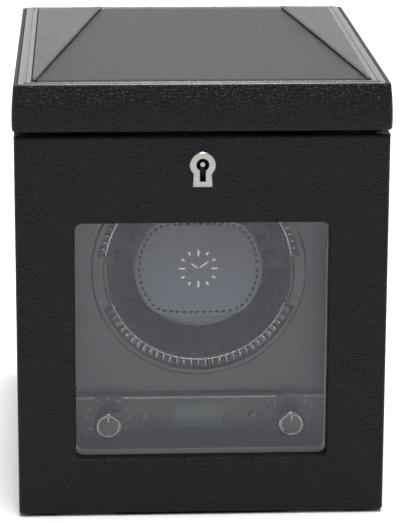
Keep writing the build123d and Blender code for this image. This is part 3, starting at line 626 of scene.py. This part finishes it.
def cuff_emblem():
    """A plain generic mark: a ring of short dial ticks with two hands."""
    radius = 8.8 * MM
    long_tick, short_tick = 3.4 * MM, 2.0 * MM
    tick_width, hand_width, foil_height = 0.95 * MM, 0.8 * MM, 0.12 * MM
    centre = Vector((cuff_centre.x, face_low.y + 0.02 * MM, cuff_centre.z))
    parts = []
    for hour in range(12):
        a = pi * hour / 6
        length = long_tick if hour % 3 == 0 else short_tick
        out = Vector((sin(a), 0, cos(a)))
        middle = centre + out * (radius - length / 2)
        parts.append(capsule(middle, out, FORWARD, length, tick_width, foil_height, 8, 6))
    for angle, length in ((radians(-54), 4.2 * MM), (radians(54), 5.8 * MM)):
        out = Vector((sin(angle), 0, cos(angle)))
        middle = centre + out * (length / 2)
        parts.append(capsule(middle, out, FORWARD, length, hand_width, foil_height, 8, 6))
    points, faces = joined(parts)
    piece("cuff_emblem", points, faces, foil, "cuff")


def cuff_body():
    """Soft round body of the cuff behind its face, with a seam round the middle."""
    end_roll = 5.5 * MM
    end_drop = 5.0 * MM
    seam_depth, seam_share = 0.8 * MM, 0.035
    crease_depth = 0.35 * MM
    gap = 0.1 * MM
    stations, count = 34, 96
    centre = Vector(((body_low.x + body_high.x) / 2, 0, (body_low.z + body_high.z) / 2))
    radius = (body_high.x - body_low.x) / 2 - 0.2 * MM
    length = body_high.y - body_low.y
    loops = []
    for j in range(stations + 1):
        v = j / stations
        y = body_low.y + gap + (length - 2 * gap) * eased(v)
        roll = rolled(min(y - body_low.y, body_high.y - y), end_roll)
        seam = -seam_depth * max(0.0, 1 - abs(v - 0.5) / seam_share)
        loop = []
        for k in range(count):
            a = 2 * pi * k / count
            crease = noise.noise(Vector((cos(a) * 2.2, sin(a) * 2.2, y * 60))) * crease_depth
            r = (radius - end_drop) + end_drop * roll + (seam + crease - crease_depth) * roll
            loop.append((centre.x + r * cos(a), y, centre.z + r * sin(a)))
        loops.append(loop)
    points, faces = rings(loops)
    made = piece("cuff_body", points, reversed_faces(faces), cuff_leather, "cuff")
    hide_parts("cuff_pad")


# ---------------------------------------------------------------- drum
def bezel_lines():
    """Polished scalloped inner edge of the drum's fluted ring, and the ridges between its flutes."""
    flutes = 84
    steps = flutes * 6
    ring_width, ring_depth = 3.4 * MM, 1.8 * MM
    edge_inset, edge_depth, edge_radius = 0.12 * MM, 1.62 * MM, 0.27 * MM
    scallop, scallop_depth = 0.28 * MM, 0.12 * MM
    ridge_length, ridge_width, ridge_height = 3.3 * MM, 0.5 * MM, 0.4 * MM
    ridge_out, ridge_depth = 1.72 * MM, 0.85 * MM
    low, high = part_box("drum_bezel")
    middle = (low + high) / 2
    inner = (high.x - low.x) / 2 - ring_width
    slope = ring_depth / ring_width
    path = []
    for k in range(steps):
        a = 2 * pi * k / steps
        bay = abs(sin(a * flutes / 2))
        radius = inner + edge_inset + scallop * bay
        y = low.y + edge_depth + scallop_depth * bay
        path.append(Vector((middle.x + radius * cos(a), y, middle.z + radius * sin(a))))
    parts = [tube_loop(path, edge_radius)]
    for k in range(flutes):
        a = 2 * pi * k / flutes
        out = Vector((cos(a), 0, sin(a)))
        along = (out + FORWARD * slope).normalized()
        up = (FORWARD - out * slope).normalized()
        centre = Vector((middle.x, low.y + ridge_depth, middle.z)) + out * (inner + ridge_out)
        parts.append(capsule(centre, along, up, ridge_length, ridge_width, ridge_height, 8, 6))
    points, faces = joined(parts)
    piece("bezel_ridges", points, faces, bezel_bright, "drum")


# ---------------------------------------------------------------- console
def console_marks():
    """Printed ticks round the knobs and short dashes over the buttons."""
    turret_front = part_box("fascia")[0].y
    console_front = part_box("lcd_lens")[0].y - 0.2 * MM
    mark_length, print_height = 1.3 * MM, 0.06 * MM
    tick_width, tick_radius = 0.32 * MM, 9.2 * MM
    dash_width, dash_spacing, dash_rise = 0.34 * MM, 0.9 * MM, 5.6 * MM
    parts = []
    for name, spread, steps in (("speed_knob_ring", 120, 8), ("direction_knob_ring", 45, 2)):
        low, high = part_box(name)
        middle = (low + high) / 2
        for step in range(steps + 1):
            a = radians(-spread + 2 * spread * step / steps)
            out = Vector((sin(a), 0, cos(a)))
            centre = Vector((middle.x, turret_front, middle.z)) + out * tick_radius
            parts.append(capsule(centre, out, FORWARD, mark_length, tick_width, print_height, 6, 3))
    for name in ("set_button", "start_button"):
        low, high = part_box(name)
        middle = (low + high) / 2
        for offset in (-dash_spacing, dash_spacing):
            centre = (middle.x + offset, console_front, middle.z + dash_rise)
            parts.append(capsule(centre, (1, 0, 0), FORWARD, mark_length, dash_width, print_height, 6, 3))
    points, faces = joined(parts)
    piece("console_marks", points, faces, print_grey, "case")


def knob_pointer(name, body):
    """White line let into the end of a knob's grip."""
    rise = 3.3 * MM
    length, width, height = 3.2 * MM, 0.5 * MM, 0.1 * MM
    low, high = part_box(name)
    middle = (low + high) / 2
    centre = (middle.x, low.y - 0.01 * MM, middle.z + rise)
    points, faces = capsule(centre, (0, 0, 1), FORWARD, length, width, height)
    piece(name + "_pointer", points, faces, print_grey, body)


lid_wrap()
lid_trim()
lid_pad()
lid_wing(-1)
lid_wing(1)
cuff_face()
cuff_stitches()
cuff_emblem()
cuff_body()
bezel_lines()
console_marks()
knob_pointer("speed_knob_cap", "speed_knob")
knob_pointer("direction_knob_cap", "direction_knob")


# ---------------------------------------------------------------- stage
def add_floor():
    half = 6.0
    points = [(-half, -half, 0), (half, -half, 0), (half, half, 0), (-half, half, 0)]
    mesh = bpy.data.meshes.new("floor")
    mesh.from_pydata(points, [], [(0, 1, 2, 3)])
    s = Shader("floor_white")
    s.set(Base_Color=(0.9, 0.9, 0.9, 1), Roughness=0.6)
    mesh.materials.append(s.material)
    made = bpy.data.objects.new("floor", mesh)
    bpy.context.scene.collection.objects.link(made)


def add_world():
    """White backdrop behind the object, and a dark room in front of it and overhead."""
    world = bpy.data.worlds.new("studio")
    bpy.context.scene.world = world
    world.use_nodes = True
    tree = world.node_tree
    coordinates = tree.nodes.new("ShaderNodeTexCoord")
    split = tree.nodes.new("ShaderNodeSeparateXYZ")
    ramp = tree.nodes.new("ShaderNodeMapRange")
    tree.links.new(coordinates.outputs["Generated"], split.inputs[0])
    tree.links.new(split.outputs["Y"], ramp.inputs["Value"])
    ramp.inputs["From Min"].default_value = -0.25
    ramp.inputs["From Max"].default_value = 0.35
    ramp.inputs["To Min"].default_value = 0.04
    ramp.inputs["To Max"].default_value = 1.0
    tree.links.new(ramp.outputs["Result"], tree.nodes["Background"].inputs["Strength"])
    tree.nodes["Background"].inputs["Color"].default_value = (1, 1, 1, 1)


def add_sun():
    """Soft light from almost straight above, which keeps the floor evenly white and the front in shade."""
    data = bpy.data.lights.new("overhead", "SUN")
    data.energy = 3.3
    data.angle = radians(20)
    made = bpy.data.objects.new("overhead", data)
    made.rotation_euler = (radians(4), radians(3), 0)
    bpy.context.scene.collection.objects.link(made)


def add_softbox():
    """High in front of the box, for the highlights on its grain and on the winder's edges."""
    place = Vector((0.0, -0.93, 1.08))
    target = Vector((0, 0, 0.1))
    data = bpy.data.lights.new("softbox", "AREA")
    data.shape = "RECTANGLE"
    data.size, data.size_y = 0.3, 0.7
    data.energy = 4.6
    made = bpy.data.objects.new("softbox", data)
    made.location = place
    made.rotation_euler = (target - place).to_track_quat("-Z", "Y").to_euler()
    bpy.context.scene.collection.objects.link(made)


def add_camera():
    """Looks down a little from just left of the middle, with a long lens."""
    data = bpy.data.cameras.new("camera")
    data.sensor_width = 36.0
    data.lens = 167.7
    data.shift_y = -0.0765
    data.clip_end = 50.0
    made = bpy.data.objects.new("camera", data)
    pitch, yaw, roll = radians(14.2), radians(2.88), radians(0.22)
    turn = Euler((pi / 2 - pitch, 0, -yaw), "XYZ").to_matrix() @ Matrix.Rotation(roll, 3, "Z")
    made.location = (-0.0511, box_front - 0.9939, 0.3832)
    made.rotation_euler = turn.to_euler()
    bpy.context.scene.collection.objects.link(made)
    bpy.context.scene.camera = made


add_floor()
add_world()
add_sun()
add_softbox()
add_camera()
bpy.context.scene.view_settings.view_transform = "Standard"
